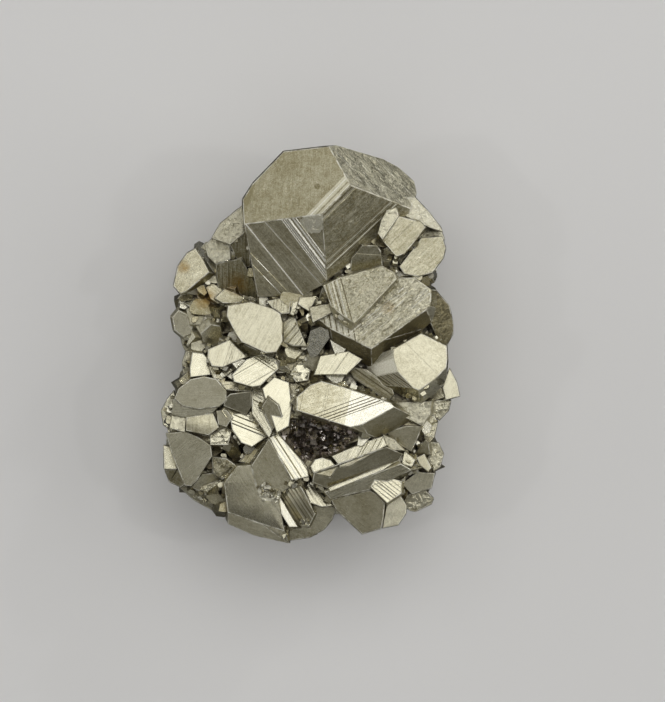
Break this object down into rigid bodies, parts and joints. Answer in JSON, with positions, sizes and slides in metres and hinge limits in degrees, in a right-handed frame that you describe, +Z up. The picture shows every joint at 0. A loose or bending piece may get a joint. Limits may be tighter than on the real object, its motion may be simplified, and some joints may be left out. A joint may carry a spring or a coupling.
{
  "type": "pyrite crystal cluster",
  "caption": "Natural cluster of intergrown metallic crystals lying on its flat cut back, for display or as a paperweight.",
  "frame": {"origin": "middle of the box's underside, on the surface that the cluster rests on", "axes": "+Z up out of the crystal side, +Y along the cluster's height towards its largest crystal, +X along its width"},
  "size_m": [0.0754, 0.0994, 0.0452],
  "materials": {
    "pyrite": "bright natural metal with fine growth lines, rougher and brown-stained in the hollows"
  },
  "bodies": {
    "root": {"pyrite_cluster": "pyrite"}
  },
  "joints": []
}
